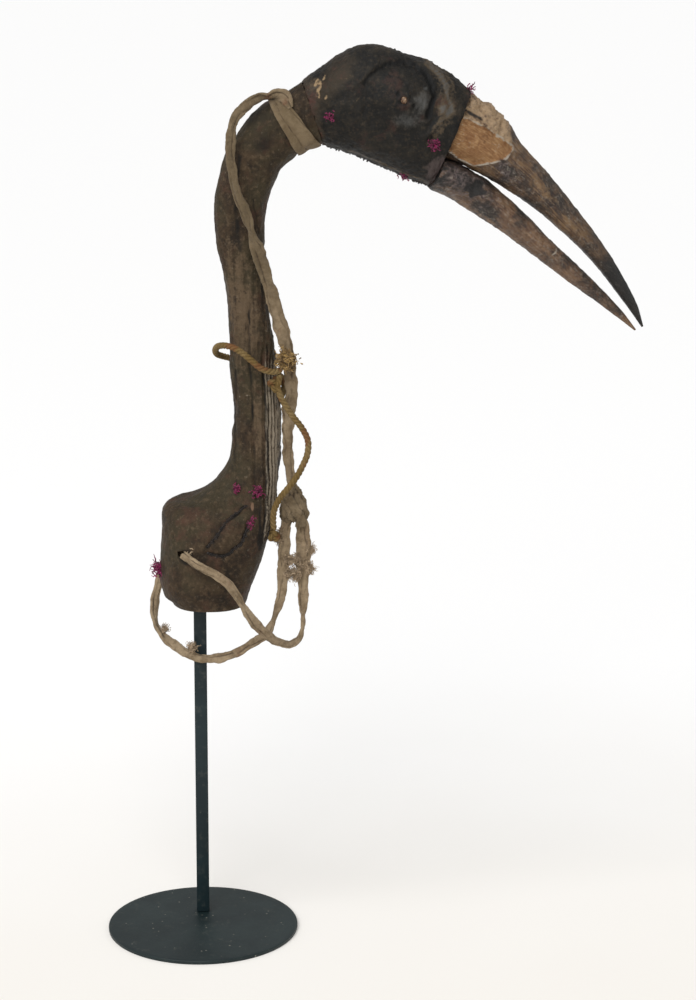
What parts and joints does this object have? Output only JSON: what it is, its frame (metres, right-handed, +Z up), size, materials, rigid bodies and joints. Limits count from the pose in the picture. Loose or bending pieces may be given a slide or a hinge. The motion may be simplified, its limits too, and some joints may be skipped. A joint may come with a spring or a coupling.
{
  "type": "hunting mask",
  "caption": "Hunter's headdress shaped as a long-billed bird: a leather cup and neck, a blackened head, a horn bill, cloth straps and a rope, on a square rod with a round foot.",
  "frame": {"origin": "centre of the foot's underside, where the stand rests", "axes": "+Z up, +X the way the bill points, +Y to the bird's own left, away from the side that carries the rope's knot; the head, neck and rod share the plane Y = 26 mm"},
  "size_m": [0.4187, 0.1552, 0.6917],
  "materials": {
    "painted_steel": "satin",
    "smoked_hide": "satin",
    "blackened_hide": "satin",
    "horn": "satin",
    "amber_bead": "gloss",
    "worn_cloth": "matte",
    "ochre_rope": "matte",
    "magenta_wool": "matte"
  },
  "bodies": {
    "root": {"stand_foot": "painted_steel", "stand_rod": "painted_steel", "neck": "smoked_hide", "head": "blackened_hide", "eye_bead_near": "amber_bead", "eye_bead_far": "amber_bead", "upper_bill": "horn", "lower_bill": "horn", "strap_wrap": "worn_cloth", "strap_hanging": "worn_cloth", "strap_near_leg": "worn_cloth", "strap_far_leg": "worn_cloth", "strap_knot": "worn_cloth", "rope_loop": "ochre_rope", "rope_tail": "ochre_rope", "rope_knot": "ochre_rope", "rope_end_knot": "ochre_rope", "rope_frayed_end": "ochre_rope", "tuft_crown": "magenta_wool", "tuft_cheek": "magenta_wool", "tuft_jaw": "magenta_wool", "tuft_nape": "magenta_wool", "tuft_flank": "magenta_wool", "tuft_heel": "magenta_wool"}
  },
  "joints": []
}
